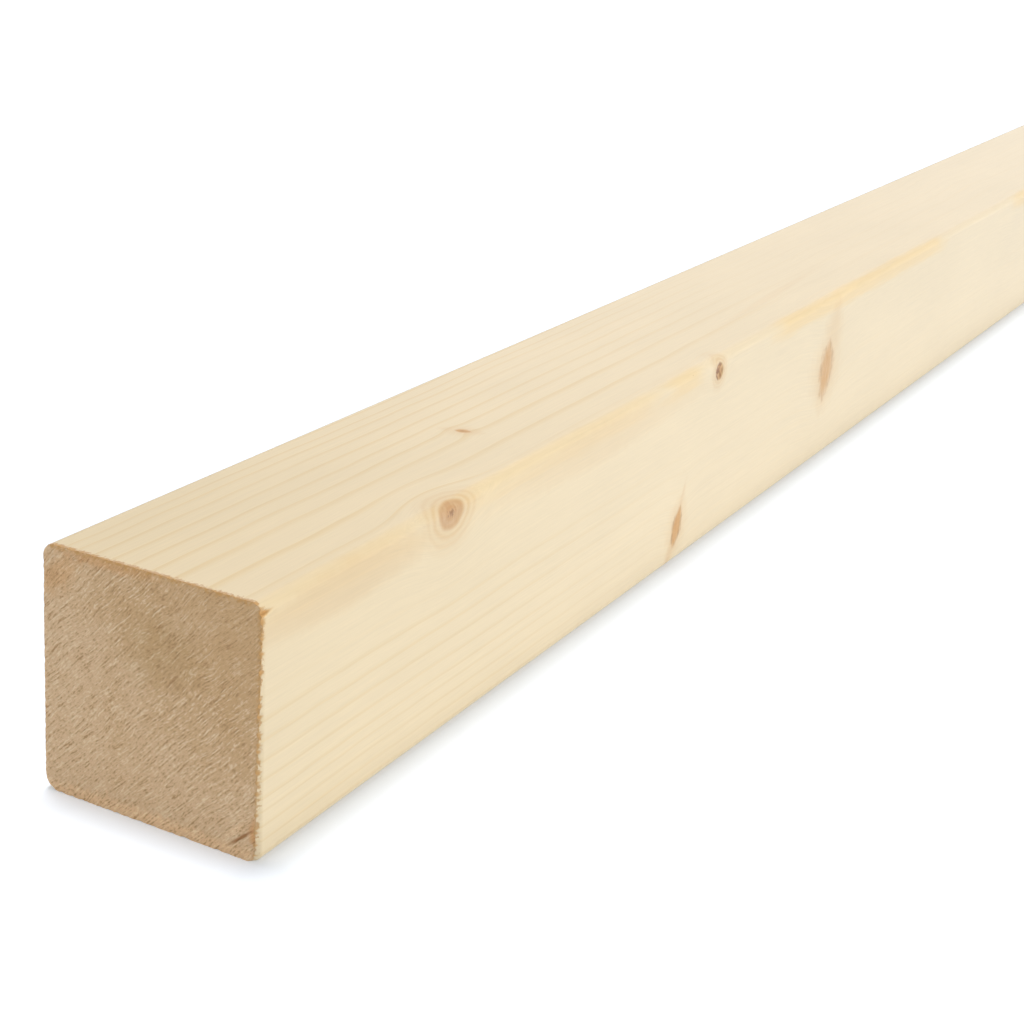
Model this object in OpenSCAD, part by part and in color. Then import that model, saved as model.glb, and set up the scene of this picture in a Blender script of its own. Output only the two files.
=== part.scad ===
// Planed square timber, one sawn piece of pale softwood with eased arrises.
// It lies along X on its underside, with the middle of that underside at the origin.
// Left and right are as seen when looking along +X at the sawn end at -X:
// left is +Y and right is -Y.

/* [Timber] */
// Length of the piece as it is sold, between its two sawn ends
timber_length = 2000; // [300:10:6000]
// Width of the planed section, from side to side
timber_width = 44; // [20:0.5:120]
// Height of the planed section, from underside to top
timber_height = 44; // [20:0.5:120]

/* [Eased arrises] */
// Rounding of the upper left arris
upper_left_radius = 2.3; // [0.5:0.1:6]
// Rounding of the upper right arris, where the pith runs
upper_right_radius = 2.2; // [0.5:0.1:6]
// Rounding of the lower left arris
lower_left_radius = 3; // [0.5:0.1:6]
// Rounding of the lower right arris
lower_right_radius = 1.8; // [0.5:0.1:6]

/* [Hidden] */
// Half of the section, from the middle plane to a side face
half_width = timber_width / 2;
// How far a cutter runs past the face that it cuts
overrun = 1;
// Sides of a drawn circle
$fn = 64;

// What the planer takes off one arris, seen along the length: the sharp corner is at
// the origin, and the faces beside it run along +X and +Y
module arris_waste(radius) {
    difference() {
        translate([-overrun, -overrun])
            square(overrun + radius);
        translate([radius, radius])
            circle(r = radius);
    }
}

// The planed section: width along X, height along Y, underside on the X axis
module planed_section() {
    difference() {
        translate([-half_width, 0])
            square([timber_width, timber_height]);
        translate([half_width, timber_height])
            mirror([1, 0])
                mirror([0, 1])
                    arris_waste(upper_left_radius);
        translate([-half_width, timber_height])
            mirror([0, 1])
                arris_waste(upper_right_radius);
        translate([half_width, 0])
            mirror([1, 0])
                arris_waste(lower_left_radius);
        translate([-half_width, 0])
            arris_waste(lower_right_radius);
    }
}

// The one solid piece, cut square at both ends
module timber() {
    color("#EBDCC0")
        rotate([90, 0, 90])
            linear_extrude(height = timber_length, center = true)
                planed_section();
}

timber();
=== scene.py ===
"""A planed square timber of pale spruce, lying on a white floor.

Places in the wood are in timber millimetres: along from the near sawn end, in from the right-hand face
and down from the top face. The pith runs beside the arris where those two faces meet.
"""
import math
from collections import namedtuple

import bpy
import numpy as np
from mathutils import Euler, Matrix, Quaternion, Vector


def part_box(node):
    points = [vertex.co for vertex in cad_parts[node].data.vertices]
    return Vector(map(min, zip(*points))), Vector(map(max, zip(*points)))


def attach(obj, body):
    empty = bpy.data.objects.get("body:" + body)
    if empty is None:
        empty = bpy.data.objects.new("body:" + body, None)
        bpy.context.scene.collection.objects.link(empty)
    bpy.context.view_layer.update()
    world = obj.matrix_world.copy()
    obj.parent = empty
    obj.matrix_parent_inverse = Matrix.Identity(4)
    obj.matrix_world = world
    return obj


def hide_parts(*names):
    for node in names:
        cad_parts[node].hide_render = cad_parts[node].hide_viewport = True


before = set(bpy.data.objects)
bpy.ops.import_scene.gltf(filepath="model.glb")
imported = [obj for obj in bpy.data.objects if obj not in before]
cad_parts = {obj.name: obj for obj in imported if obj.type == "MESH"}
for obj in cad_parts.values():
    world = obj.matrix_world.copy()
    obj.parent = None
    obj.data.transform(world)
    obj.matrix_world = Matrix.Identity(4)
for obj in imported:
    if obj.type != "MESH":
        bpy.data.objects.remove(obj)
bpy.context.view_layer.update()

# Sizes from the frame
MM = 0.001
LOW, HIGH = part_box("timber")
LENGTH, WIDTH, HEIGHT = ((HIGH - LOW) / MM)[:]
CORNER = Vector((LOW.x, LOW.y, HIGH.z))
# Rounding of the arrises, in order round the section from the one beside the pith
ARRIS_RADII = (2.2, 2.3, 3.0, 1.8)
# The sides of the section in that order
TOP, LEFT, UNDERSIDE, RIGHT = range(4)

# The camera, from the middle of the near end's underside
CAMERA_BACK = 0.22033
CAMERA_RIGHT = 0.18217
CAMERA_HEIGHT = 0.16194
CAMERA_AZIMUTH = 28.587
CAMERA_DIP = 14.565
CAMERA_ROLL = 2.97
CAMERA_SENSOR = 36.0
CAMERA_LENS = 67.67
CAMERA_SHIFT_Y = -0.1953
CAMERA_NEAREST = 0.01

# Where the pith runs, and how much flatter the rings are downwards
PITH = (0, 1.2, 1.2)
RING_FLATTENING = 0.885
# Growth rings: distance of each dark line from the pith, and how much of the first year is over at the pith
RING_RADII = (
    2.9, 9.8, 16.4, 21.0, 24.9, 28.8, 32.5, 35.9, 38.3,
    41.2, 44.0, 46.8, 49.4, 52.2, 54.8, 57.6, 60.2, 63.0,
)
RING_REACH = 66.0
FIRST_YEAR_OVER = 0.4

# Stretches of the length in which the rings show clearly on the right face: from, to
# They fade at both ends, and on the other faces they begin and end later by the lag
CLEAR_FADE = 60.0
CLEAR_LAG = 90.0
CLEAR_STRETCHES = (
    (-240, 110),
    (560, 690),
    (960, 1170),
    (1400, 1480),
    (1700, 2080),
)

# Where the pith shows as a yellow streak: its middle, how it fades at its ends, and its stretches: from, to
# and strength
STREAK_MIDDLE = (0, 0.2, 1.8)
STREAK_FADE = 6.0
PITH_STRETCHES = (
    (-20, 44, 0.2),
    (62, 138, 0.32),
    (146, 166, 0.55),
    (210, 344, 0.68),
    (424, 640, 0.65),
    (700, 760, 0.4),
    (905, 1130, 0.7),
    (1300, 1390, 0.6),
    (1500, 1720, 0.7),
    (1840, 1960, 0.6),
)

# A knot. middle is where it shows. turn is in degrees about along, in and down. reach is its half size
# along, across and in the branch's own direction, after the turn. A pointed knot is a branch cut lengthwise.
# body, heart and rim are how brown its wood, its middle and its outline are, bend is how far it pushes the
# rings out, and sunk is how far it lies below the planed face.
Knot = namedtuple("Knot", "middle turn reach pointed body heart rim bend sunk")
UPRIGHT = (0, 0, 0)
ACROSS = (-90, 0, 0)
DIAGONAL = (-45, 0, 0)
KNOTS = (
    Knot((55.4, 0.3, 2.0), DIAGONAL, (4.3, 2.35, 60), False, 0.95, 0.75, 0.0, 6.2, 0.1),
    Knot((91.1, 19.1, 0), (-90, 0, 16), (1.2, 2.0, 1.9), True, 1.0, 0.6, 0.0, 1.2, 0.0),
    Knot((174.2, 0, 3.4), (-90, 20, 0), (2.1, 2.1, 2.6), False, 1.0, 1.5, 0.9, 2.0, 0.5),
    Knot((155.8, 0, 35.6), (0, -19, 0), (2.6, 4, 5.4), True, 1.0, 0.0, 0.5, 2.0, 0.0),
    Knot((247.6, 0, 20.0), (0, -11, 0), (5.3, 5, 8.6), True, 0.85, 0.0, 0.35, 3.5, 0.0),
    Knot((436, WIDTH, 17), ACROSS, (7, 6, 16), False, 0.8, 0.5, 0.2, 5.0, 0.0),
    Knot((301, 24, HEIGHT), UPRIGHT, (6, 5, 14), False, 0.9, 0.6, 0.3, 4.0, 0.0),
    Knot((860, 0, 22), (0, 8, 0), (4.6, 5, 8), True, 0.9, 0.1, 0.2, 4.0, 0.0),
    Knot((878, 17, HEIGHT), UPRIGHT, (7, 6, 14), False, 0.8, 0.6, 0.3, 5.0, 0.0),
    Knot((1215, 26, 0), (-90, 0, 10), (3.8, 3, 6.5), True, 0.8, 0.1, 0.3, 4.0, 0.0),
    Knot((1232, WIDTH, 14), ACROSS, (6.5, 5.5, 16), False, 0.9, 0.7, 0.3, 4.0, 0.0),
    Knot((1590, 0, 30), (0, -8, 0), (4.2, 5, 7.5), True, 0.9, 0.1, 0.3, 4.0, 0.0),
    Knot((1604, 28, HEIGHT), UPRIGHT, (7, 5.5, 14), False, 0.85, 0.5, 0.3, 4.5, 0.0),
    Knot((1905, WIDTH, 24), ACROSS, (7.5, 6.5, 16), False, 0.8, 0.4, 0.2, 5.0, 0.0),
)
# How much farther than a knot's reach it pushes the rings, along, across and in its own direction
BEND_SPREAD = (2.6, 3.2, 2.4)
# Tan stains beside the knots and along the grain, with middle, turn and reach as for a pointed knot
Stain = namedtuple("Stain", "middle turn reach strength")
STAINS = (
    Stain((91, 19.4, 0), (-90, 0, 16), (4.0, 2.0, 5.5), 0.5),
    Stain((154.6, 0, 37), (0, -23, 0), (2.8, 4, 14), 0.85),
    Stain((250.4, 0, 13), (0, -18, 0), (9.5, 4, 14), 0.6),
    Stain((238, 13, 0), (0, 0, 3), (54, 1.8, 4), 0.3),
    Stain((24, 0, 4.5), (0, 1, 0), (50, 6, 5), 0.5),
    Stain((115, 0, 5), UPRIGHT, (70, 6, 5), 0.3),
    Stain((436, WIDTH, 17), ACROSS, (14, 10, 16), 0.4),
    Stain((860, 0, 17), (0, 8, 0), (8, 4, 15), 0.5),
    Stain((1590, 0, 25), (0, -8, 0), (8, 4, 14), 0.5),
)
# Marks on the near end and a strip of painted light, with middle, turn and reach as for a knot, how strong,
# and a dye
Mark = namedtuple("Mark", "middle turn reach strength dye")
MARKS_AND_PAINTED_LIGHT = (
    Mark((0, 20, 13), UPRIGHT, (40, 9, 8), 0.9, (0.86, 0.83, 0.74, 1)),
    Mark((0, 41, 5), (40, 0, 0), (40, 6, 3), 0.5, (0.97, 0.79, 0.58, 1)),
    Mark((0, 30, 0.8), UPRIGHT, (40, 12, 1.4), 0.5, (0.95, 0.72, 0.46, 1)),
    # Painted light: a pale strip along the bottom, lifting the shade where the end meets the floor
    Mark((0, 20, 43.6), UPRIGHT, (40, 40, 2.2), 0.9, (1.26, 1.24, 1.22, 1)),
    Mark((0, 0.8, 39), UPRIGHT, (40, 1.6, 2.6), 0.8, (0.92, 0.66, 0.42, 1)),
    Mark((0, 4.6, 39.4), (40, 0, 0), (40, 3.4, 0.8), 0.8, (1.16, 1.18, 1.2, 1)),
    Mark((0, 3.6, 40.4), (40, 0, 0), (40, 3.6, 0.4), 1.0, (0.55, 0.38, 0.25, 1)),
)

# Colours of the wood
EARLYWOOD = (0.835, 0.69, 0.455, 1)
LATEWOOD = (0.745, 0.53, 0.22, 1)
PITH_YELLOW = (0.86, 0.63, 0.295, 1)
SAWN_NEAR_PITH = (0.635, 0.403, 0.198, 1)
SAWN_OUTER = (0.735, 0.50, 0.287, 1)
SAWN_PALE = (0.85, 0.65, 0.42, 1)
SAWN_GAP = (0.46, 0.265, 0.115, 1)
SAWN_RIM = (0.60, 0.33, 0.11, 1)
FRAYED = (0.52, 0.30, 0.12, 1)
# Dyes, by which a colour is multiplied
STAIN_DYE = (0.91, 0.80, 0.66, 1)
DISC_DYE = (0.76, 0.58, 0.44, 1)
SPIKE_DYE = (0.78, 0.52, 0.21, 1)
DARK_DYE = (0.42, 0.28, 0.14, 1)
# Painted shade, which tones down the upper arrises where the light falls brightest
ARRIS_SHADE_DYE = (0.92, 0.925, 0.93, 1)
# Painted shade, darker and greyer towards both ends, least on the right face
END_SHADE_DYE = (0.88, 0.865, 0.81, 1)


# Mesh

# Points on each side of the section, and squares on each side of an end
SIDE_STEPS = 160
# How much closer the points are at the arrises than in the middle of a side
ARRIS_CROWDING = 0.15
# Where the section is repeated: near the ends, round sunk knots and at even steps
END_STATIONS = (0.0, 0.2, 0.42, 0.7, 1.0, 1.4, 2.0, 3.0, 5.0, 9.0)
KNOT_STATIONS = (-1.5, -1.1, -0.85, -0.6, -0.3, 0.0, 0.3, 0.6, 0.85, 1.1, 1.5)
STATION_STEP = 80.0
# Where a sunk knot's shoulder begins and where it is fully down, as shares of the knot's reach
SHOULDER_SHARES = (1.1, 0.6)
# The saw's bites at the ends: their full depth on each side, width and length, the shares of these that
# they have, and how far apart they are
BITE_DEPTHS = {TOP: 0.14, LEFT: 0.14, UNDERSIDE: 0.2, RIGHT: 0.55}
BITE_WIDTH = 1.4
BITE_LENGTH = 0.8
BITE_SHARES = (0.3, 0.95)
BITE_GAPS = (0.4, 2.6)
# The edge where the saw came out is worn, most at the floor: how deep there, how far along and how far in
WORN_DEPTH = 0.85
WORN_LENGTH = 0.7
WORN_REACH = 2.0
# A splinter missing from the pith's arris at the near end. The flat share of its height is at full depth.
CHIP_DOWN = 1.5
CHIP_HEIGHT = 1.3
CHIP_FLAT_SHARE = 0.2
CHIP_LENGTH = 2.4
CHIP_DEPTH = 0.7
# How deep a bite or the chip is where it has the full colour of torn wood
TORN_DEPTH = 0.2
# The saw's marks on the ends: long strands and short tufts, each with its length and width
SAW_ANGLE = math.radians(45)
SAW_DEPTH = 0.1
STRAND_SIZE = (5.0, 0.8)
TUFT_SIZE = (1.8, 0.7)
STRAND_SHARE = 0.6
# The cells of the noise each way, where on it the ends lie, and the seeds for the near and the far end
NOISE_CELLS = 256
NOISE_START = 100
BITE_SEEDS = (3, 4)
SAW_SEEDS = (10, 20)

Section = namedtuple("Section", "point outward side walk")


def eased(share):
    """A share from 0 to 1 that starts and stops smoothly."""
    return share * share * (3 - 2 * share)


def grid_noise(u, v, seed):
    """Smooth noise from 0 to 1 with cells one unit wide."""
    table = np.random.default_rng(seed).random((NOISE_CELLS, NOISE_CELLS))
    column = np.floor(u).astype(int)
    row = np.floor(v).astype(int)
    right = eased(u - column)
    up = eased(v - row)

    def between_columns(row):
        near = table[column % NOISE_CELLS, row % NOISE_CELLS]
        far = table[(column + 1) % NOISE_CELLS, row % NOISE_CELLS]
        return near * (1 - right) + far * right

    return between_columns(row) * (1 - up) + between_columns(row + 1) * up


def side_points(side):
    """Points and outward directions, in and down, from the middle of one arris to the middle of the next."""
    first = ARRIS_RADII[side]
    last = ARRIS_RADII[(side + 1) % 4]
    span = WIDTH if side in (TOP, UNDERSIDE) else HEIGHT
    first_arc = first * math.pi / 4
    last_arc = last * math.pi / 4
    flat = span - first - last
    even = np.linspace(0, 1, SIDE_STEPS, endpoint=False)
    crowded = even - ARRIS_CROWDING * np.sin(2 * math.pi * even) / (2 * math.pi)
    walk = crowded * (first_arc + flat + last_arc)
    # The side is drawn as if it were the top, with the turn of its surface from level
    on_first = walk < first_arc
    on_last = walk > first_arc + flat
    turn = np.where(on_first, (walk - first_arc) / first, 0)
    turn = np.where(on_last, (walk - first_arc - flat) / last, turn)
    radius = np.where(on_first, first, last)
    across = np.where(on_first, first, np.clip(first + walk - first_arc, first, span - last))
    across = across + radius * np.sin(turn)
    below = radius * (1 - np.cos(turn))
    # Then turned into its own place
    start = ((0, 0), (WIDTH, 0), (WIDTH, HEIGHT), (0, HEIGHT))[side]
    forward = np.array(((1, 0), (0, 1), (-1, 0), (0, -1))[side])
    inward = np.array(((0, 1), (-1, 0), (0, -1), (1, 0))[side])
    point = start + across[:, None] * forward + below[:, None] * inward
    outward = np.sin(turn)[:, None] * forward - np.cos(turn)[:, None] * inward
    return point, outward


def section_outline():
    """The planed section, drawn round from the middle of the pith's arris."""
    sides = [side_points(side) for side in range(4)]
    point = np.concatenate([points for points, _ in sides])
    outward = np.concatenate([directions for _, directions in sides])
    side = np.repeat(np.arange(4), SIDE_STEPS)
    steps = np.linalg.norm(np.diff(point, axis=0), axis=1)
    walk = np.concatenate([[0], np.cumsum(steps)])
    return Section(point, outward, side, walk)


def stations():
    """Distances along the timber at which the section is repeated."""
    places = [LENGTH / 2]
    places += END_STATIONS
    places += [LENGTH - station for station in END_STATIONS]
    places += np.arange(STATION_STEP, LENGTH - STATION_STEP / 2, STATION_STEP).tolist()
    for knot in KNOTS:
        if knot.sunk > 0:
            places += [knot.middle[0] + knot.reach[0] * step for step in KNOT_STATIONS]
    return np.unique(np.round(places, 3))


def knot_depth(places):
    """How far the knots lie below the planed faces."""
    depth = np.zeros(len(places))
    begins, ends = SHOULDER_SHARES
    for knot in KNOTS:
        if knot.sunk > 0:
            turned = np.array(Euler([math.radians(angle) for angle in knot.turn]).to_matrix())
            local = (places - knot.middle) @ turned / knot.reach
            inside = np.clip((begins - np.linalg.norm(local, axis=1)) / (begins - ends), 0, 1)
            depth = np.maximum(depth, knot.sunk * eased(inside))
    return depth


Bite = namedtuple("Bite", "walk size depth")


def saw_bites(section, seed):
    """The small bites that the saw tore from the sides at an end, in order round the section."""
    chance = np.random.default_rng(seed)
    bites = []
    walk = 0.0
    while walk < section.walk[-1]:
        side = section.side[np.searchsorted(section.walk, walk)]
        size = chance.uniform(*BITE_SHARES)
        bites.append(Bite(walk, size, size * BITE_DEPTHS[side]))
        walk += chance.uniform(*BITE_GAPS)
    return bites


def tear_depth(section, from_end, bites):
    """How far the saw tore the sides. Each bite narrows to a point away from the end."""
    depth = np.zeros(len(section.walk))
    for bite in bites:
        left = 1 - from_end / (BITE_LENGTH * bite.size)
        if left > 0:
            off = (section.walk - bite.walk) / (BITE_WIDTH / 2 * bite.size * left)
            depth = np.maximum(depth, bite.depth * left * np.clip(1 - off * off, 0, 1))
    return depth


def worn_depth(section, from_end):
    """How far the right face's edge is worn down to the end."""
    left = max(0, 1 - from_end / WORN_LENGTH)
    by_right = np.clip(1 - section.point[:, 0] / WORN_REACH, 0, 1)
    return WORN_DEPTH * left * by_right * section.point[:, 1] / HEIGHT


def chip_depth(section, along):
    """The missing splinter: a wedge that narrows to a point along the arris."""
    left = max(0, 1 - along / CHIP_LENGTH)
    if left == 0:
        return np.zeros(len(section.walk))
    on_right = section.point[:, 0] < WIDTH / 2
    off_middle = np.abs(section.point[:, 1] - CHIP_DOWN)
    within = np.clip(1 + CHIP_FLAT_SHARE - off_middle / (CHIP_HEIGHT / 2 * left), 0, 1)
    return CHIP_DEPTH * within * on_right * left ** 0.5


def saw_depth(grid, seed):
    """How deep the saw's marks are at places on an end."""
    run = grid[..., 0] * math.cos(SAW_ANGLE) + grid[..., 1] * math.sin(SAW_ANGLE) + NOISE_START
    rise = grid[..., 1] * math.cos(SAW_ANGLE) - grid[..., 0] * math.sin(SAW_ANGLE) + NOISE_START
    strands = grid_noise(run / STRAND_SIZE[0], rise / STRAND_SIZE[1], seed)
    tufts = grid_noise(run / TUFT_SIZE[0], rise / TUFT_SIZE[1], seed + 1)
    return SAW_DEPTH * (STRAND_SHARE * strands + (1 - STRAND_SHARE) * tufts)


def end_grid(point):
    """Places inside the section, blended from its four sides, by steps in and steps down."""
    n = SIDE_STEPS
    closed = np.concatenate([point, point[:1]])
    top = closed[:n + 1]
    left = closed[n:2 * n + 1]
    underside = closed[2 * n:3 * n + 1][::-1]
    right = closed[3 * n:][::-1]
    inward = np.linspace(0, 1, n + 1)[:, None, None]
    down = np.linspace(0, 1, n + 1)[None, :, None]
    between_ends = top[:, None] * (1 - down) + underside[:, None] * down
    between_sides = right[None] * (1 - inward) + left[None] * inward
    upper = top[0] * (1 - inward) + top[-1] * inward
    lower = underside[0] * (1 - inward) + underside[-1] * inward
    return between_ends + between_sides - upper * (1 - down) - lower * down


class MeshParts:
    """Vertices in timber millimetres, and grids of them with places on the colour map."""

    def __init__(self):
        self.vertices = []
        self.torn = []
        self.count = 0
        self.faces = []
        self.map = []
        self.material = []

    def add(self, places, torn):
        """Adds vertices and returns their numbers."""
        self.vertices.append(places)
        self.torn.append(torn)
        numbers = self.count + np.arange(len(places))
        self.count += len(places)
        return numbers

    def section_at(self, numbers):
        """Where vertices are, in and down."""
        return np.concatenate(self.vertices)[numbers, 1:]

    def grid(self, numbers, rows, columns, corner, size, material):
        """Covers a grid of vertices with faces. rows and columns are shares of size on the map."""
        across, up = np.meshgrid(columns, rows)
        flat = np.stack([corner[0] + across * size[0], corner[1] + up * size[1]], 2)
        for wanted, stored in ((numbers, self.faces), (flat, self.map)):
            corners = wanted[:-1, :-1], wanted[:-1, 1:], wanted[1:, 1:], wanted[1:, :-1]
            stored.append(np.stack(corners, 2).reshape((-1, 4) + wanted.shape[2:]))
        self.material.append(np.full((len(rows) - 1) * (len(columns) - 1), material))


# The colour map: eight strips, one for each half of each side, and a square for each end
STRIP_PITCH = 0.101
MAP_GAP = 0.002
END_SQUARE = 0.184
# The places of the two materials on the mesh, and the angle from which an edge is drawn sharp
PLANED, SAWN = 0, 1
SHARP_ANGLE = math.radians(60)


def add_sides(parts, section):
    """The four planed sides. Returns the numbers of the vertices of the first and last sections."""
    count = len(section.walk)
    along = stations()
    near_bites, far_bites = [saw_bites(section, seed) for seed in BITE_SEEDS]
    numbers = []
    for station in along:
        tear = tear_depth(section, station, near_bites) + tear_depth(section, LENGTH - station, far_bites)
        worn = worn_depth(section, station) + worn_depth(section, LENGTH - station)
        chip = chip_depth(section, station)
        flat = np.column_stack([np.full(count, station), section.point])
        torn = np.maximum(tear, chip)
        depth = np.maximum(torn + worn, knot_depth(flat))
        flat[:, 1:] -= section.outward * depth[:, None]
        numbers.append(parts.add(flat, np.clip(torn / TORN_DEPTH, 0, 1)))
    numbers = np.array(numbers)
    middle = np.argmin(np.abs(along - LENGTH / 2))
    halves = slice(None, middle + 1), slice(middle, None)
    across = np.linspace(0, 1, SIDE_STEPS + 1)
    size = (1 - 2 * MAP_GAP, STRIP_PITCH - 2 * MAP_GAP)
    for side in range(4):
        columns = np.arange(side * SIDE_STEPS, (side + 1) * SIDE_STEPS + 1) % count
        for strip, half in enumerate(halves, side * 2):
            share = (along[half] - along[half][0]) / np.ptp(along[half])
            corner = (MAP_GAP, strip * STRIP_PITCH + MAP_GAP)
            parts.grid(numbers[half][:, columns].T, across, share, corner, size, PLANED)
    return numbers[0], numbers[-1]


def add_end(parts, edge, far):
    """One sawn end, inside the section whose vertices have the numbers in edge."""
    n = SIDE_STEPS
    places = end_grid(parts.section_at(edge))
    depth = saw_depth(places, SAW_SEEDS[far])
    along = LENGTH - depth if far else depth
    inner = np.concatenate([along[..., None], places], 2)[1:n, 1:n].reshape(-1, 3)
    closed = np.append(edge, edge[0])
    numbers = np.zeros((n + 1, n + 1), int)
    numbers[:, 0] = closed[:n + 1]
    numbers[n, :] = closed[n:2 * n + 1]
    numbers[:, n] = closed[2 * n:3 * n + 1][::-1]
    numbers[0, :] = closed[3 * n:][::-1]
    numbers[1:n, 1:n] = parts.add(inner, np.zeros(len(inner))).reshape(n - 1, n - 1)
    share = np.linspace(0, 1, n + 1)
    corner = (MAP_GAP + far * (END_SQUARE + 2 * MAP_GAP), 8 * STRIP_PITCH + MAP_GAP)
    parts.grid(numbers if far else numbers.T, share, share, corner, (END_SQUARE, END_SQUARE), SAWN)


def timber_mesh():
    """The whole timber as one closed mesh."""
    section = section_outline()
    parts = MeshParts()
    first, last = add_sides(parts, section)
    add_end(parts, first, False)
    add_end(parts, last, True)
    vertices = np.array(CORNER) + np.concatenate(parts.vertices) * (MM, MM, -MM)
    faces = np.concatenate(parts.faces)
    mesh = bpy.data.meshes.new("timber_wood")
    mesh.from_pydata(vertices.tolist(), [], faces.tolist())
    mesh.polygons.foreach_set("material_index", np.concatenate(parts.material))
    mesh.polygons.foreach_set("use_smooth", np.ones(len(faces), bool))
    mesh.uv_layers.new(name="OFBake").uv.foreach_set("vector", np.concatenate(parts.map).ravel())
    torn = mesh.attributes.new("torn", "FLOAT", "POINT")
    torn.data.foreach_set("value", np.concatenate(parts.torn))
    mesh.set_sharp_from_angle(angle=SHARP_ANGLE)
    mesh.update()
    return mesh


# Materials

# A wobble is written as the size of its patches along, in and down, its swing and sometimes its detail.
# Plain noise is written as its patches and its detail, a fade as where it is 0 and where it is 1, and a line
# as its slope and its value at 0. The fades of a knot, a stain or a mark are in shares of its reach.


class Nodes:
    """Adds nodes to a node tree. Sockets or plain values go in, and sockets come back."""

    def __init__(self, tree):
        self.tree = tree

    def feed(self, socket, value):
        if isinstance(value, bpy.types.NodeSocket):
            self.tree.links.new(value, socket)
        else:
            socket.default_value = value

    def node(self, kind, inputs, **settings):
        made = self.tree.nodes.new("ShaderNode" + kind)
        for name, value in settings.items():
            setattr(made, name, value)
        for key, value in inputs.items():
            self.feed(made.inputs[key], value)
        return made

    def math(self, operation, *values):
        return self.node("Math", dict(enumerate(values)), operation=operation).outputs[0]

    def vector(self, operation, *values):
        return self.node("VectorMath", dict(enumerate(values)), operation=operation).outputs["Vector"]

    def length(self, vector):
        return self.node("VectorMath", {0: vector}, operation="LENGTH").outputs["Value"]

    def scale(self, vector, share):
        return self.node("VectorMath", {0: vector, "Scale": share}, operation="SCALE").outputs["Vector"]

    def split(self, vector):
        return self.node("SeparateXYZ", {0: vector}).outputs

    def smooth(self, value, start, end):
        """Rises smoothly from 0 at start to 1 at end. start may be the larger."""
        inputs = {"Value": value, "From Min": start, "From Max": end}
        return self.node("MapRange", inputs, interpolation_type="SMOOTHSTEP").outputs[0]

    def mix(self, share, a, b):
        return self.node("Mix", {0: share, 6: a, 7: b}, data_type="RGBA").outputs[2]

    def tint(self, share, colour, dye):
        """Multiplies a colour by a dye."""
        inputs = {0: share, 6: colour, 7: dye}
        return self.node("Mix", inputs, data_type="RGBA", blend_type="MULTIPLY").outputs[2]

    def noise(self, place, cell, detail=2.0, output="Fac"):
        """Noise in patches of about cell millimetres along, in and down."""
        shrunk = self.vector("DIVIDE", place, cell)
        return self.node("TexNoise", {"Vector": shrunk, "Scale": 1.0, "Detail": detail}).outputs[output]

    def wobble(self, place, cell, amount, detail=2.0):
        """Noise that swings about 0 by up to half of amount."""
        return self.math("MULTIPLY_ADD", self.noise(place, cell, detail), amount, -amount / 2)

    def swing(self, place, cell):
        """A vector that swings about 0 each way."""
        return self.vector("SUBTRACT", self.noise(place, cell, 1.0, "Color"), (0.5, 0.5, 0.5))

    def uneven(self, place, cell, amount):
        """Noise that swings about 1 by up to half of amount."""
        return self.math("ADD", self.wobble(place, cell, amount), 1.0)

    def within(self, value, start, end, fade):
        """1 between start and end, with a soft border at each, else 0."""
        begun = self.smooth(value, start - fade, start + fade)
        return self.product(begun, self.smooth(value, end + fade, end - fade))

    def chain(self, operation, values):
        """Joins values by one operation, from the first to the last."""
        total = values[0]
        for value in values[1:]:
            total = self.math(operation, total, value)
        return total

    def sum(self, *values):
        return self.chain("ADD", values)

    def product(self, *values):
        return self.chain("MULTIPLY", values)

    def largest(self, values):
        return self.chain("MAXIMUM", values)

    def smallest(self, values):
        return self.chain("MINIMUM", values)


def timber_place(nodes):
    """The shaded place in timber millimetres."""
    here = nodes.node("TexCoord", {}).outputs["Object"]
    return nodes.vector("MULTIPLY", nodes.vector("SUBTRACT", here, CORNER), (1 / MM, 1 / MM, -1 / MM))


def in_knot(nodes, place, middle, turn, reach):
    """The shaded place in a knot's own directions, with its reach as 1."""
    turn = [math.radians(angle) for angle in turn]
    inputs = {"Vector": place, "Location": middle, "Rotation": turn, "Scale": reach}
    return nodes.node("Mapping", inputs, vector_type="TEXTURE").outputs[0]


def pointed_distance(nodes, local):
    """Distance from the middle of a pointed knot or a stain, 1 at its outline."""
    along, across, out = nodes.split(local)
    side = nodes.math("ABSOLUTE", along)
    return nodes.sum(side, nodes.product(across, across), nodes.product(out, out))


SPIKE_UNEVEN = (2.4, 3, 3), 0.8
SPIKE_FADE = 1.25, 0.3
SPIKE_STAIN_FADE = 2.8, 0.6
SPIKE_STAIN = 0.6
DISC_UNEVEN = (2, 2, 2), 0.12
DISC_FADE = 1.2, 0.65
HEART_UNEVEN = (0.5, 0.7, 0.7), 3.0
HEART_REACH = 0.45
HEART_FULL = 0.05
RIM_INNER_FADE = 0.3, 0.75
RIM_OUTER_FADE = 1.2, 0.82
STAIN_FADE = 1.1, 0.2

Uneven = namedtuple("Uneven", "spike disc heart")
Knotty = namedtuple("Knotty", "disc spike heart rim nearest stain bend")


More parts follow.
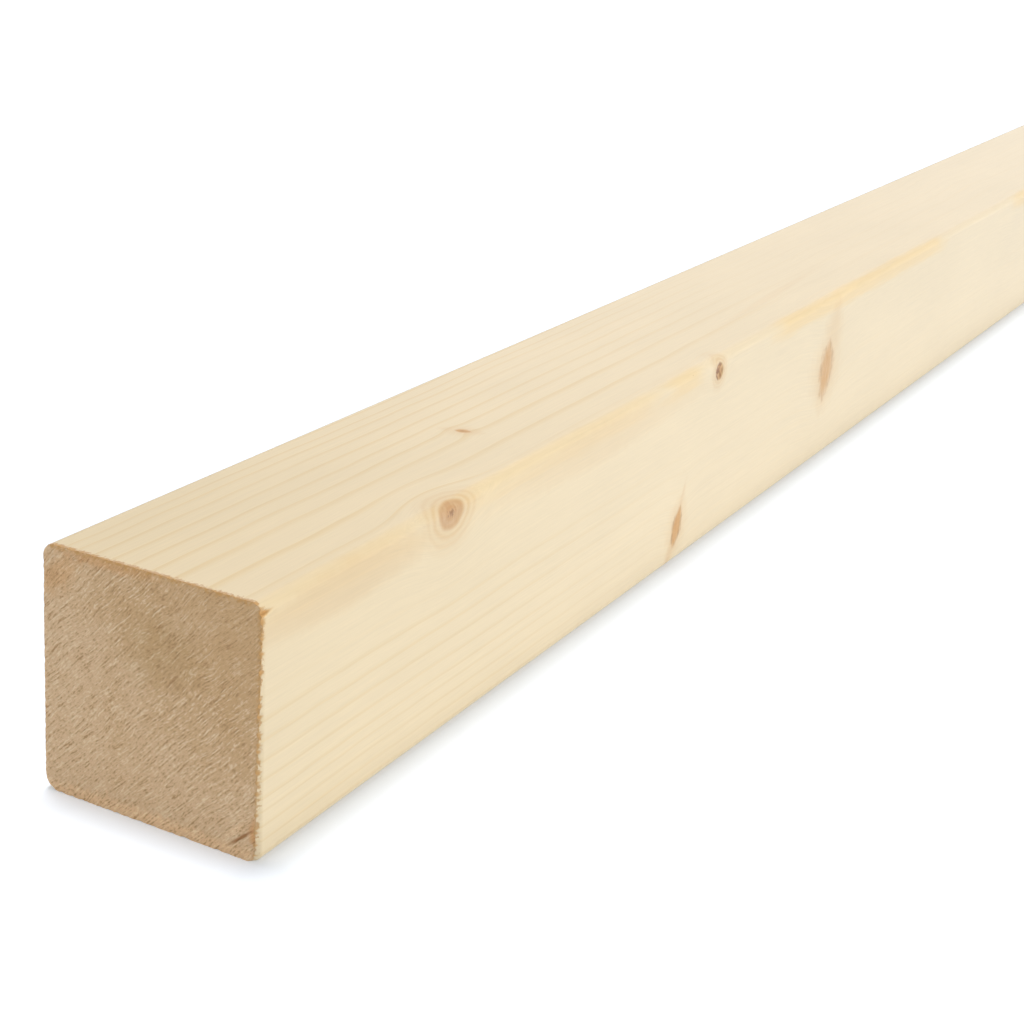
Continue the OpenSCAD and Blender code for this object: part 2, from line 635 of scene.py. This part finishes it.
def add_knot(nodes, knot, place, uneven, parts):
    """Adds what shows of one knot to the lists of parts."""
    local = in_knot(nodes, place, knot.middle, knot.turn, knot.reach)
    if knot.pointed:
        distance = nodes.product(pointed_distance(nodes, local), uneven.spike)
        parts["spike"].append(nodes.product(nodes.smooth(distance, *SPIKE_FADE), knot.body))
        parts["stain"].append(nodes.product(nodes.smooth(distance, *SPIKE_STAIN_FADE), SPIKE_STAIN))
    else:
        distance = nodes.product(nodes.length(local), uneven.disc)
        parts["disc"].append(nodes.product(nodes.smooth(distance, *DISC_FADE), knot.body))
        parts["nearest"].append(distance)
    if knot.heart > 0:
        middle = nodes.product(distance, uneven.heart)
        shown = nodes.smooth(middle, HEART_REACH * knot.heart, HEART_FULL)
        parts["heart"].append(nodes.product(shown, knot.heart))
    if knot.rim > 0:
        inner = nodes.smooth(distance, *RIM_INNER_FADE)
        edge = nodes.product(inner, nodes.smooth(distance, *RIM_OUTER_FADE))
        parts["rim"].append(nodes.product(edge, knot.rim))
    away = nodes.length(nodes.vector("DIVIDE", local, BEND_SPREAD))
    parts["bend"].append(nodes.product(nodes.math("EXPONENT", nodes.product(away, away, -1.0)), knot.bend))


def knots_at(nodes, place):
    """How much of each part of a knot shows, how near a round knot is, and how far the rings bend."""
    uneven = Uneven(
        nodes.uneven(place, *SPIKE_UNEVEN),
        nodes.uneven(place, *DISC_UNEVEN),
        nodes.uneven(place, *HEART_UNEVEN),
    )
    parts = {part: [] for part in Knotty._fields}
    for knot in KNOTS:
        add_knot(nodes, knot, place, uneven, parts)
    for stain in STAINS:
        local = in_knot(nodes, place, stain.middle, stain.turn, stain.reach)
        distance = nodes.product(pointed_distance(nodes, local), uneven.spike)
        parts["stain"].append(nodes.product(nodes.smooth(distance, *STAIN_FADE), stain.strength))
    return Knotty(
        disc=nodes.largest(parts["disc"]),
        spike=nodes.largest(parts["spike"]),
        heart=nodes.largest(parts["heart"]),
        rim=nodes.largest(parts["rim"]),
        nearest=nodes.smallest(parts["nearest"]),
        stain=nodes.largest(parts["stain"]),
        bend=nodes.sum(*parts["bend"]),
    )


# How the rings wander, drift and ripple, and where in its year the latewood begins, is darkest and ends
PITH_WANDER_CELL = 170
PITH_WANDER = 3.0
RING_DRIFT = (48, 26, 26), 1.8
RING_RIPPLE = (13, 7, 7), 0.5
LATE_BEGINS = 0.66
LATE_DARKEST = 0.95
LATE_ENDS = 1.0
# How much of the rings is left where they are unclear or patchy, and how the lag sets in off the right face
UNCLEAR_SHARE = 0.2
PATCHES = (60, 9, 9), 3
PATCH_FADE = 0.2, 0.6
PATCHY_SHARE = 0.4
CLEAR_LAG_FADE = 1.5, 8
# How the pith's streak is ragged at its ends and its edges
STREAK_SHIFT = (20, 3, 3), 20
STREAK_RAGGED = (14, 1.2, 1.2), 2.6
STREAK_EDGE_FADE = 3.6, 1.2

Wood = namedtuple("Wood", "place flow late pith knots")


def ring_age(nodes, radius):
    """Years of growth at a distance from the pith. Each dark line ends a year."""
    curve = nodes.node("FloatCurve", {"Value": nodes.product(radius, 1 / RING_REACH)})
    line = curve.mapping.curves[0]
    years = len(RING_RADII) + 1
    line.points[0].location = (0, FIRST_YEAR_OVER / years)
    line.points[1].location = (1, 1)
    for year, ring in enumerate(RING_RADII, 1):
        line.points.new(ring / RING_REACH, year / years)
    for point in line.points:
        point.handle_type = "VECTOR"
    curve.mapping.update()
    return nodes.product(curve.outputs[0], years)


def ring_clearness(nodes, place):
    """How clearly the rings show along the length."""
    along, inward, _ = nodes.split(place)
    along = nodes.math("SUBTRACT", along, nodes.product(nodes.smooth(inward, *CLEAR_LAG_FADE), CLEAR_LAG))
    clear = [nodes.within(along, start, end, CLEAR_FADE) for start, end in CLEAR_STRETCHES]
    return nodes.math("MULTIPLY_ADD", nodes.largest(clear), 1 - UNCLEAR_SHARE, UNCLEAR_SHARE)


def ring_line(nodes, place, radius):
    """The dark latewood that ends each year's ring."""
    season = nodes.math("FRACT", ring_age(nodes, radius))
    darkens = nodes.smooth(season, LATE_BEGINS, LATE_DARKEST)
    late = nodes.product(darkens, nodes.smooth(season, LATE_ENDS, LATE_DARKEST))
    patchy = nodes.smooth(nodes.noise(place, *PATCHES), *PATCH_FADE)
    patchy = nodes.math("MULTIPLY_ADD", patchy, 1 - PATCHY_SHARE, PATCHY_SHARE)
    return nodes.product(late, ring_clearness(nodes, place), patchy)


def pith_streak(nodes, place):
    """The yellow streaks where the pith comes out, more on the right face than on the top."""
    off_middle = nodes.vector("MULTIPLY", nodes.vector("SUBTRACT", place, STREAK_MIDDLE), (0, 1, 1))
    along = nodes.split(place)[0]
    shifted = nodes.math("ADD", along, nodes.wobble(place, *STREAK_SHIFT))
    parts = []
    for start, end, strength in PITH_STRETCHES:
        parts.append(nodes.product(nodes.within(shifted, start, end, STREAK_FADE), strength))
    ragged = nodes.math("ADD", nodes.length(off_middle), nodes.wobble(place, *STREAK_RAGGED))
    return nodes.product(nodes.largest(parts), nodes.smooth(ragged, *STREAK_EDGE_FADE))


def ring_radius(nodes, place, bend):
    """Distance from the pith to the ring at a place. bend is how far a knot pushes the rings out there."""
    only_along = nodes.vector("MULTIPLY", place, (1, 0, 0))
    wander = nodes.swing(only_along, (PITH_WANDER_CELL, 1, 1))
    wander = nodes.vector("MULTIPLY", wander, (0, PITH_WANDER, PITH_WANDER))
    from_pith = nodes.vector("SUBTRACT", place, PITH)
    wandering = nodes.vector("SUBTRACT", from_pith, wander)
    plain = nodes.length(nodes.vector("MULTIPLY", wandering, (0, 1, 1 / RING_FLATTENING)))
    radius = nodes.sum(
        nodes.math("SUBTRACT", plain, bend),
        nodes.wobble(place, *RING_DRIFT),
        nodes.wobble(place, *RING_RIPPLE),
    )
    return nodes.math("MAXIMUM", radius, 0.0)


def wood_at(nodes):
    """What the wood is at the shaded place: its rings, pith and knots."""
    place = timber_place(nodes)
    knots = knots_at(nodes, place)
    radius = ring_radius(nodes, place, knots.bend)
    from_pith = nodes.vector("MULTIPLY", nodes.vector("SUBTRACT", place, PITH), (0, 1, 1))
    flow = nodes.vector("SUBTRACT", place, nodes.scale(nodes.vector("NORMALIZE", from_pith), knots.bend))
    streak = pith_streak(nodes, place)
    return Wood(place, flow, ring_line(nodes, place, radius), streak, knots)


def new_material(name):
    """A material, the means to add nodes to it, and its shader."""
    material = bpy.data.materials.new(name)
    material.use_nodes = True
    return material, Nodes(material.node_tree), material.node_tree.nodes["Principled BSDF"]


# Inside a knot the brown is streaky, and round it the tan halo has rings of its own
KNOT_STREAKS = (0.9, 3, 3), 2
KNOT_MOTTLE_FADE = 0.3, 0.65
KNOT_SHADE_LINE = 0.9, 0.5
HALO_FADE = 2.7, 1.2
HALO_WAVE_LINE = 12.6, -17.0
HALO_SWING = 0.25
HALO_LEVEL = 0.7


def with_knots(nodes, wood, colour):
    """Dyes the wood's colour at the knots: tan round them, brown inside, dark at outline and heart."""
    knots = wood.knots
    streaks = nodes.noise(wood.place, *KNOT_STREAKS)
    mottled = nodes.smooth(streaks, *KNOT_MOTTLE_FADE)
    waves = nodes.math("COSINE", nodes.math("MULTIPLY_ADD", knots.nearest, *HALO_WAVE_LINE))
    waves = nodes.math("MULTIPLY_ADD", waves, HALO_SWING, HALO_LEVEL)
    halo = nodes.product(nodes.smooth(knots.nearest, *HALO_FADE), waves)
    colour = nodes.tint(nodes.math("MAXIMUM", halo, knots.stain), colour, STAIN_DYE)
    shade = nodes.math("MULTIPLY_ADD", streaks, *KNOT_SHADE_LINE)
    colour = nodes.tint(nodes.product(knots.disc, shade), colour, DISC_DYE)
    colour = nodes.tint(nodes.product(knots.spike, shade), colour, SPIKE_DYE)
    dark = nodes.math("MAXIMUM", knots.heart, nodes.product(knots.rim, mottled))
    return nodes.tint(dark, colour, DARK_DYE)


# How far the painted shade on the upper arrises and at the ends reaches, and how ragged the frayed fibres
# are
ARRIS_FADE = 2.4, 0.5
END_FADE = 150, -10
END_ACROSS_FADE = 0.0, 40
END_LEAST = 0.35
FRAYED_RAGGED = (0.8, 0.7, 0.7), 2.6
FRAYED_TOP_FADE = 0.8, 0.2
FRAYED_RIGHT_FADE = 0.3, -0.2
FRAYED_ACROSS_FADE = 1.6, 0.4


def arris_shade(nodes, inward, down):
    """1 on the rounded upper arrises, which get a painted shade that tones down their brighter light, and 0
    on the faces.
    """
    beside = nodes.math("MINIMUM", inward, nodes.math("SUBTRACT", WIDTH, inward))
    return nodes.product(nodes.smooth(beside, *ARRIS_FADE), nodes.smooth(down, *ARRIS_FADE))


def shade_by_end(nodes, from_end, inward):
    """1 at the ends, which get a painted shade, darker and greyer, and 0 farther in. Least on the right
    face.
    """
    side = nodes.math("MULTIPLY_ADD", nodes.smooth(inward, *END_ACROSS_FADE), 1 - END_LEAST, END_LEAST)
    return nodes.product(nodes.smooth(from_end, *END_FADE), side)


def frayed(nodes, place, from_end, inward, down):
    """1 on the short fibres that the saw frayed along the top and right edges of the ends, else 0."""
    ragged = nodes.math("ADD", from_end, nodes.wobble(place, *FRAYED_RAGGED))
    top = nodes.product(nodes.smooth(ragged, *FRAYED_TOP_FADE), nodes.smooth(down, *FRAYED_ACROSS_FADE))
    on_right = nodes.smooth(inward, *FRAYED_ACROSS_FADE)
    right = nodes.product(nodes.smooth(ragged, *FRAYED_RIGHT_FADE), on_right)
    return nodes.math("MAXIMUM", top, right)


def torn_share(nodes):
    """How much of the wood is torn at the shaded place, from the mesh."""
    return nodes.node("Attribute", {}, attribute_name="torn").outputs["Fac"]


# How far down the rings begin to show on the right face and how much, and where the other faces begin
RIGHT_RINGS_FADE = 13, 21
RIGHT_RINGS = 0.62
OFF_RIGHT_FADE = 1.5, 5
RING_CONTRAST = 0.54
LEAST_CONTRAST = 0.04
# The planed wood's fine marks, roughness and relief
FIBRES = (50, 0.45, 0.45), 0.12, 3
FLECKS = (7, 0.3, 0.3), 0.10, 2
BLOTCHES = (45, 16, 16), 0.10, 2
PLANED_ROUGHNESS = 0.45
FIBRE_ROUGHNESS = 0.6
LATE_ROUGHNESS = -0.06
SHEEN = 0.36
SHEEN_ROUGHNESS = 0.4
GRAIN = (30, 0.4, 0.4), 3
GRAIN_DEPTH = 0.02 * MM
GRAIN_STRENGTH = 0.5


def ring_colour(nodes, wood):
    """The colour of the rings and the pith. The rings are faint on the right face, most so near the pith."""
    _, inward, down = nodes.split(wood.place)
    on_right = nodes.product(nodes.smooth(down, *RIGHT_RINGS_FADE), RIGHT_RINGS)
    shows = nodes.math("MAXIMUM", on_right, nodes.smooth(inward, *OFF_RIGHT_FADE))
    shows = nodes.math("MULTIPLY_ADD", shows, RING_CONTRAST, LEAST_CONTRAST)
    colour = nodes.mix(nodes.product(wood.late, shows), EARLYWOOD, LATEWOOD)
    return nodes.mix(wood.pith, colour, PITH_YELLOW)


def with_wear_and_painted_shade(nodes, place, colour):
    """Paints shade on the upper arrises and towards the ends, and colours the frayed and torn edges."""
    along, inward, down = nodes.split(place)
    from_end = nodes.math("MINIMUM", along, nodes.math("SUBTRACT", LENGTH, along))
    # Painted shade on the upper arrises
    colour = nodes.tint(arris_shade(nodes, inward, down), colour, ARRIS_SHADE_DYE)
    # Painted shade towards the ends
    colour = nodes.tint(shade_by_end(nodes, from_end, inward), colour, END_SHADE_DYE)
    colour = nodes.mix(frayed(nodes, place, from_end, inward, down), colour, FRAYED)
    return nodes.mix(torn_share(nodes), colour, SAWN_RIM)


def planed_wood():
    """The four planed faces: growth rings, fine fibres, blotches, the pith's streak and knots."""
    material, nodes, shader = new_material("spruce_planed")
    wood = wood_at(nodes)
    fibres = nodes.wobble(wood.flow, *FIBRES)
    flecks = nodes.wobble(wood.flow, *FLECKS)
    blotches = nodes.wobble(wood.place, *BLOTCHES)
    colour = nodes.scale(ring_colour(nodes, wood), nodes.sum(fibres, flecks, blotches, 1.0))
    colour = with_knots(nodes, wood, colour)
    nodes.feed(shader.inputs["Base Color"], with_wear_and_painted_shade(nodes, wood.place, colour))
    late_rough = nodes.product(wood.late, LATE_ROUGHNESS)
    rough = nodes.sum(nodes.product(fibres, FIBRE_ROUGHNESS), late_rough, PLANED_ROUGHNESS)
    nodes.feed(shader.inputs["Roughness"], rough)
    shader.inputs["Sheen Weight"].default_value = SHEEN
    shader.inputs["Sheen Roughness"].default_value = SHEEN_ROUGHNESS
    height = nodes.noise(wood.place, *GRAIN)
    bump = nodes.node("Bump", {"Height": height, "Strength": GRAIN_STRENGTH, "Distance": GRAIN_DEPTH})
    nodes.feed(shader.inputs["Normal"], bump.outputs[0])
    return material


# The sawn wood's strands, whose patches are along the timber, along the strand and across it
STRAND_WAVES = (9, 9, 9)
STRAND_SWING = 1.8
FUZZ = (9, 0.8, 0.26), 0.9, 1
THREADS = (9, 4.5, 0.34), 1.0, 1
STRAND_MEAN = 0.5
# Its tones by distance from the pith, its pale strands, which are duller by the pith, its gaps and its rings
TONE_BLOTCHES = (9, 11, 11), 60
TONE_FADE = 8, 50
PALE_FADE = 0.52, 0.8
PALE_AWAY_FADE = 6, 28
PALE_BY_PITH = 0.4
GAP_FADE = 0.48, 0.16
SAWN_RINGS = 0.12
# Its marks and its broken rim
MARK_UNEVEN = (1.6, 1.6, 1.6), 1.2
MARK_FADE = 1.2, 0.3
RIM_RAGGED = (1.2, 1.2, 1.2), 2.2
RIM_TOP_FADE = 1.0, 0.1
RIM_RIGHT_FADE = 1.3, 0.2
RIM_BREAKS = (1, 0.7, 0.7), 2
RIM_BREAKS_FADE = 0.3, 0.6
# Its roughness, which rises from the gaps to the strands, and its relief
SAWN_ROUGHNESS_LINE = 0.2, 0.7
SAWN_RELIEF = 0.2 * MM
SAWN_STRENGTH = 0.6


def saw_strands(nodes, place):
    """Fuzz and longer threads that the saw laid over: about 0 in the gaps and 1 on the fibres."""
    wavy = nodes.swing(place, STRAND_WAVES)
    swept = nodes.vector("ADD", place, nodes.scale(wavy, STRAND_SWING))
    turned = nodes.node("Mapping", {"Vector": swept, "Rotation": (-SAW_ANGLE, 0, 0)}).outputs[0]
    return nodes.sum(nodes.wobble(turned, *FUZZ), nodes.wobble(turned, *THREADS), STRAND_MEAN)


def with_marks_and_painted_light(nodes, place, colour):
    """Dyes the near end's colour where it is marked, and lightens its bottom strip with painted light."""
    uneven = nodes.uneven(place, *MARK_UNEVEN)
    for mark in MARKS_AND_PAINTED_LIGHT:
        local = in_knot(nodes, place, mark.middle, mark.turn, mark.reach)
        distance = nodes.product(nodes.length(local), uneven)
        shown = nodes.product(nodes.smooth(distance, *MARK_FADE), mark.strength)
        colour = nodes.tint(shown, colour, mark.dye)
    return colour


def sawn_colour(nodes, place, strands):
    """The sawn wood's colour: browner towards the pith, with pale strands, duller there, and dark gaps."""
    radius = ring_radius(nodes, place, 0.0)
    toned = nodes.math("ADD", radius, nodes.wobble(place, *TONE_BLOTCHES))
    colour = nodes.mix(nodes.smooth(toned, *TONE_FADE), SAWN_NEAR_PITH, SAWN_OUTER)
    pale = nodes.math("MULTIPLY_ADD", nodes.smooth(radius, *PALE_AWAY_FADE), 1 - PALE_BY_PITH, PALE_BY_PITH)
    colour = nodes.mix(nodes.product(nodes.smooth(strands, *PALE_FADE), pale), colour, SAWN_PALE)
    colour = nodes.mix(nodes.smooth(strands, *GAP_FADE), colour, SAWN_GAP)
    return nodes.mix(nodes.product(ring_line(nodes, place, radius), SAWN_RINGS), colour, SAWN_GAP)


def sawn_rim(nodes, place):
    """1 on the broken orange rim along the end's top and right edges, else 0."""
    _, inward, down = nodes.split(place)
    ragged = nodes.wobble(place, *RIM_RAGGED)
    top = nodes.smooth(nodes.math("ADD", down, ragged), *RIM_TOP_FADE)
    right = nodes.smooth(nodes.math("ADD", inward, ragged), *RIM_RIGHT_FADE)
    broken = nodes.smooth(nodes.noise(place, *RIM_BREAKS), *RIM_BREAKS_FADE)
    return nodes.product(nodes.math("MAXIMUM", top, right), broken)


def sawn_wood():
    """The sawn ends: fuzzy strands, darker gaps, marks, an orange rim and torn edges."""
    material, nodes, shader = new_material("spruce_sawn")
    place = timber_place(nodes)
    strands = saw_strands(nodes, place)
    colour = with_marks_and_painted_light(nodes, place, sawn_colour(nodes, place, strands))
    colour = nodes.mix(sawn_rim(nodes, place), colour, SAWN_RIM)
    colour = nodes.mix(torn_share(nodes), colour, SAWN_RIM)
    nodes.feed(shader.inputs["Base Color"], colour)
    nodes.feed(shader.inputs["Roughness"], nodes.math("MULTIPLY_ADD", strands, *SAWN_ROUGHNESS_LINE))
    bump = nodes.node("Bump", {"Height": strands, "Strength": SAWN_STRENGTH, "Distance": SAWN_RELIEF})
    nodes.feed(shader.inputs["Normal"], bump.outputs[0])
    return material


def add_object(name, data):
    """Adds an object to the scene."""
    made = bpy.data.objects.new(name, data)
    bpy.context.scene.collection.objects.link(made)
    return made


def make_timber():
    """The one piece, which shows in place of the solid."""
    mesh = timber_mesh()
    mesh.materials.append(planed_wood())
    mesh.materials.append(sawn_wood())
    timber = add_object("timber_wood", mesh)
    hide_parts("timber")
    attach(timber, "root")


# Surroundings

FLOOR_REACH = 12.0
FLOOR_COLOUR = (0.77, 0.83, 0.915, 1)
# How much the floor glows where it is seen directly, and how strong the light from all round is
FLOOR_LIFT = 0.27
WORLD_LEVEL = 0.36
# The light from above: its strength, where it comes from, and how broad it is
SUN_STRENGTH = 0.61 * math.pi
SUN_PLACE = (0.079, 0.092, 1)
SUN_ANGLE = math.radians(13)
# The soft boxes beside the timber: their strengths, place, size and the height that they aim at
RIGHT_STRENGTH = 61.5
LEFT_STRENGTH = 17.0
BOX_AWAY = 2.4
BOX_HEIGHT = 0.4
BOX_LENGTH = 7.0
BOX_DEPTH = 0.5
BOX_AIM = 0.05


def seen_directly(nodes):
    """1 for what the camera sees itself, in a reflection or through something, else 0."""
    rays = nodes.node("LightPath", {}).outputs
    return nodes.largest([rays["Is Camera Ray"], rays["Is Glossy Ray"], rays["Is Transmission Ray"]])


def floor_material():
    """A cool white, a little brighter where it is seen directly, so that only the shadow shows."""
    material, nodes, shader = new_material("floor_white")
    shader.inputs["Base Color"].default_value = FLOOR_COLOUR
    shader.inputs["Roughness"].default_value = 1.0
    shader.inputs["Specular IOR Level"].default_value = 0.0
    shader.inputs["Emission Color"].default_value = (1, 1, 1, 1)
    nodes.feed(shader.inputs["Emission Strength"], nodes.product(seen_directly(nodes), FLOOR_LIFT))
    return material


def make_floor():
    """A level square under the timber."""
    mesh = bpy.data.meshes.new("floor")
    signs = ((-1, -1), (1, -1), (1, 1), (-1, 1))
    corners = [(along * FLOOR_REACH, across * FLOOR_REACH, LOW.z) for along, across in signs]
    mesh.from_pydata(corners, [], [(0, 1, 2, 3)])
    mesh.materials.append(floor_material())
    add_object("floor", mesh)


def make_world():
    """An even white surround, at full white where it is seen directly."""
    world = bpy.data.worlds.new("surround")
    world.use_nodes = True
    bpy.context.scene.world = world
    nodes = Nodes(world.node_tree)
    background = world.node_tree.nodes["Background"]
    background.inputs["Color"].default_value = (1, 1, 1, 1)
    level = nodes.math("MULTIPLY_ADD", seen_directly(nodes), 1 - WORLD_LEVEL, WORLD_LEVEL)
    nodes.feed(background.inputs["Strength"], level)


def add_lamp(name, kind, strength, place, aim):
    """A lamp that lights the scene and isn't mirrored in it."""
    light = bpy.data.lights.new(name, kind)
    light.energy = strength
    lamp = add_object(name, light)
    lamp.location = place
    lamp.rotation_mode = "QUATERNION"
    lamp.rotation_quaternion = (Vector(aim) - Vector(place)).to_track_quat("-Z", "Y")
    lamp.visible_glossy = False
    return light


def add_soft_box(name, strength, across):
    """A long low soft box beside the timber."""
    light = add_lamp(name, "AREA", strength, (0, across, BOX_HEIGHT), (0, 0, BOX_AIM))
    light.shape = "RECTANGLE"
    light.size = BOX_LENGTH
    light.size_y = BOX_DEPTH


def make_lamps():
    """A broad soft light from above, a soft box on the right and a weaker one on the left."""
    above = add_lamp("above", "SUN", SUN_STRENGTH, SUN_PLACE, (0, 0, 0))
    above.angle = SUN_ANGLE
    add_soft_box("right", RIGHT_STRENGTH, -BOX_AWAY)
    add_soft_box("left", LEFT_STRENGTH, BOX_AWAY)


def make_camera():
    """The photo's view, with the camera tilted a little to one side."""
    azimuth = math.radians(CAMERA_AZIMUTH)
    dip = math.radians(CAMERA_DIP)
    level = math.cos(dip)
    forward = Vector((level * math.cos(azimuth), level * math.sin(azimuth), -math.sin(dip)))
    data = bpy.data.cameras.new("camera")
    data.sensor_width = CAMERA_SENSOR
    data.lens = CAMERA_LENS
    data.shift_y = CAMERA_SHIFT_Y
    data.clip_start = CAMERA_NEAREST
    camera = add_object("camera", data)
    near_foot = Vector((LOW.x, (LOW.y + HIGH.y) / 2, LOW.z))
    camera.location = near_foot + Vector((-CAMERA_BACK, -CAMERA_RIGHT, CAMERA_HEIGHT))
    camera.rotation_mode = "QUATERNION"
    roll = Quaternion((0, 0, 1), math.radians(CAMERA_ROLL))
    camera.rotation_quaternion = forward.to_track_quat("-Z", "Y") @ roll
    bpy.context.scene.camera = camera


make_timber()
make_floor()
make_world()
make_lamps()
make_camera()
bpy.context.scene.view_settings.view_transform = "Standard"
